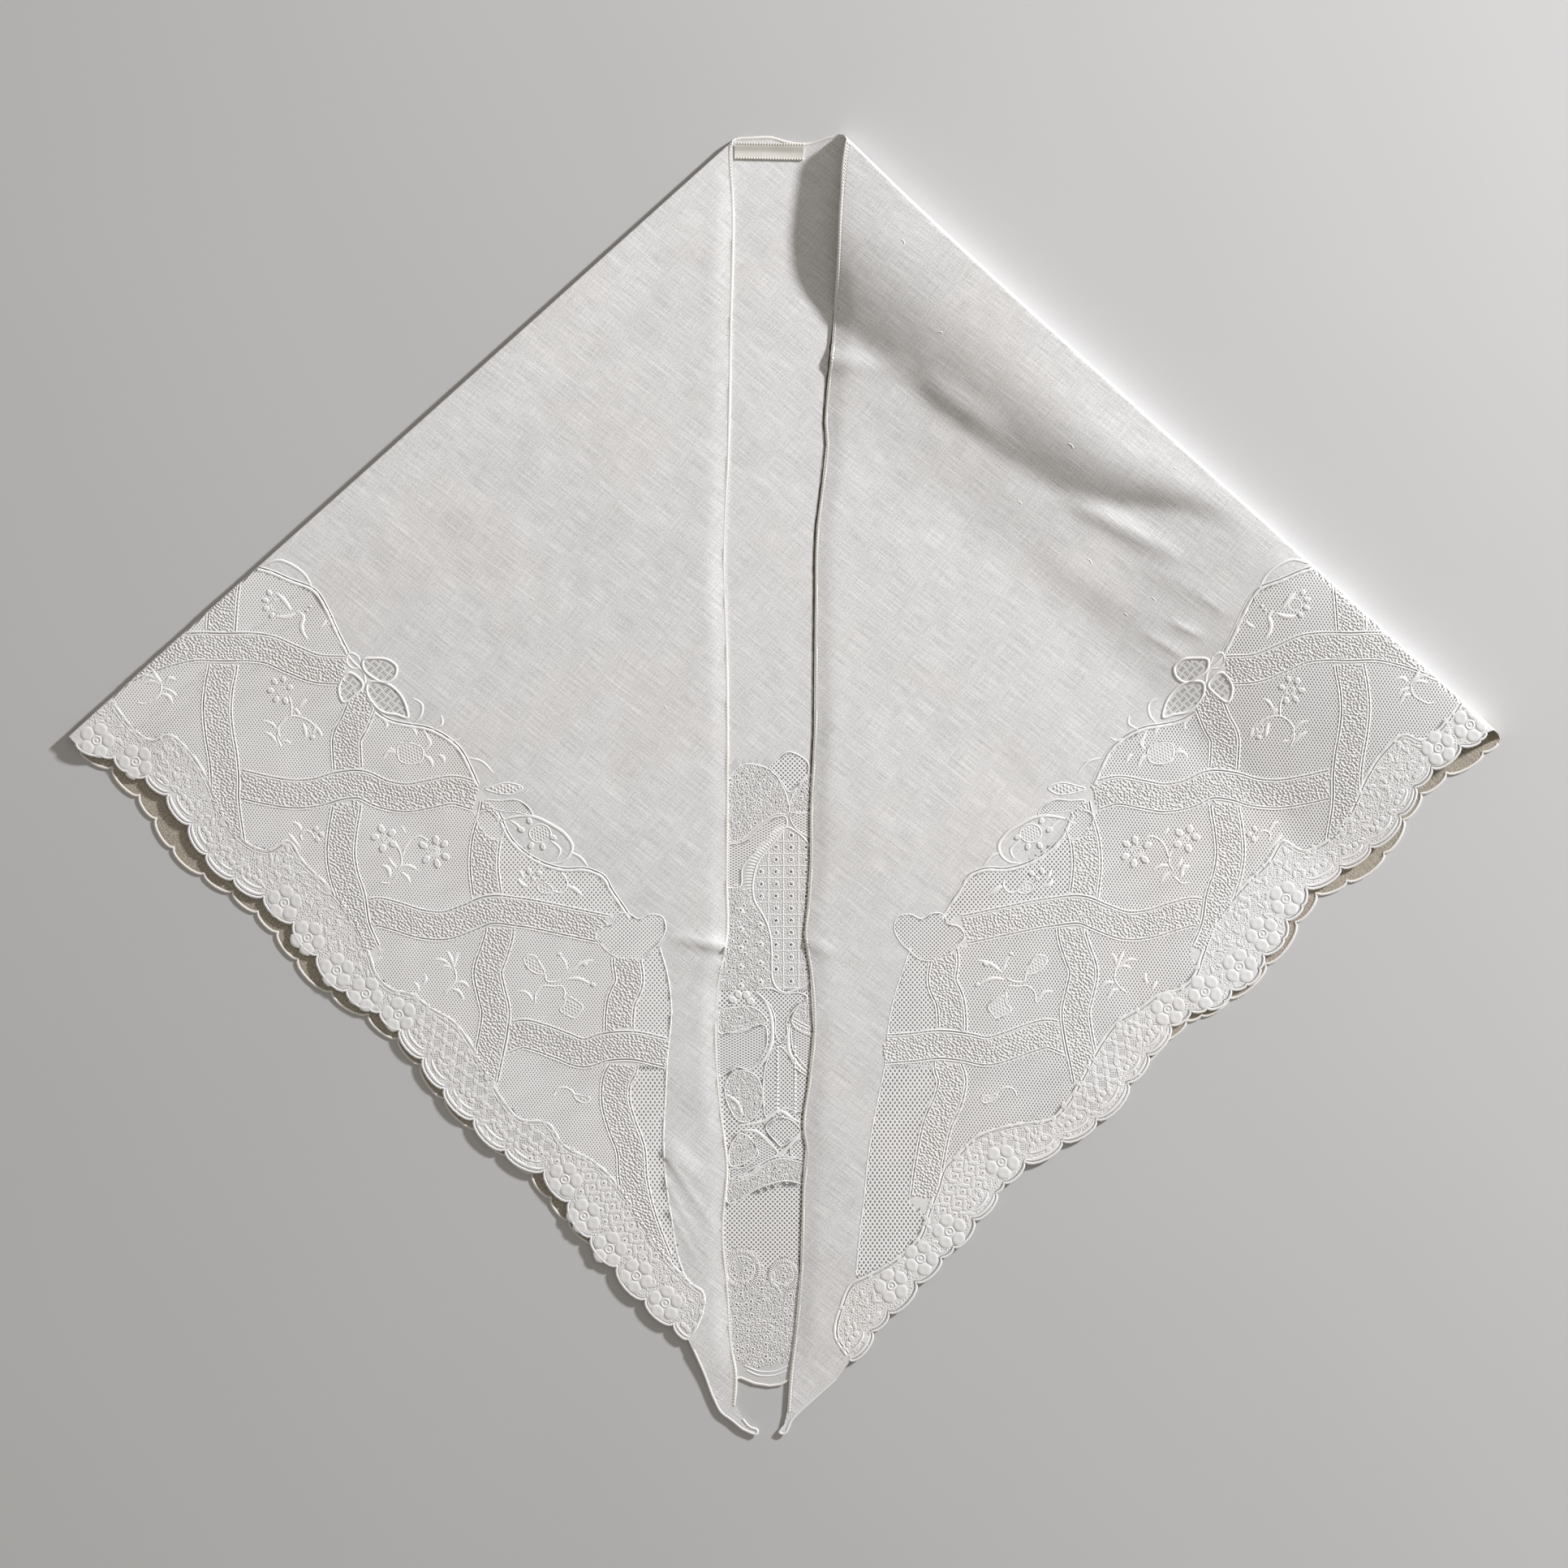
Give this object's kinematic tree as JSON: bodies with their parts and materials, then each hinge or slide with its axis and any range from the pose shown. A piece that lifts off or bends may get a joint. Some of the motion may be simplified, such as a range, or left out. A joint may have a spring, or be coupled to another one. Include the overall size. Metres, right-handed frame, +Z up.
{
  "type": "fichu",
  "caption": "Triangular muslin fichu with a whitework border and scalloped edge, laid flat with its ends folded forward to meet.",
  "frame": {"origin": "on the surface the fichu lies on, at the centre of its laid outline", "axes": "+Z up from the surface, +Y towards the neck edge, +X towards the side corner of the front on the right as seen from above"},
  "size_m": [0.74, 0.6727, 0.013],
  "materials": {
    "muslin": "matt, sheer plain weave with raised white embroidery",
    "tape": "matt cotton tape"
  },
  "bodies": {
    "root": {"cloth": "muslin", "label_tape": "tape"}
  },
  "joints": []
}
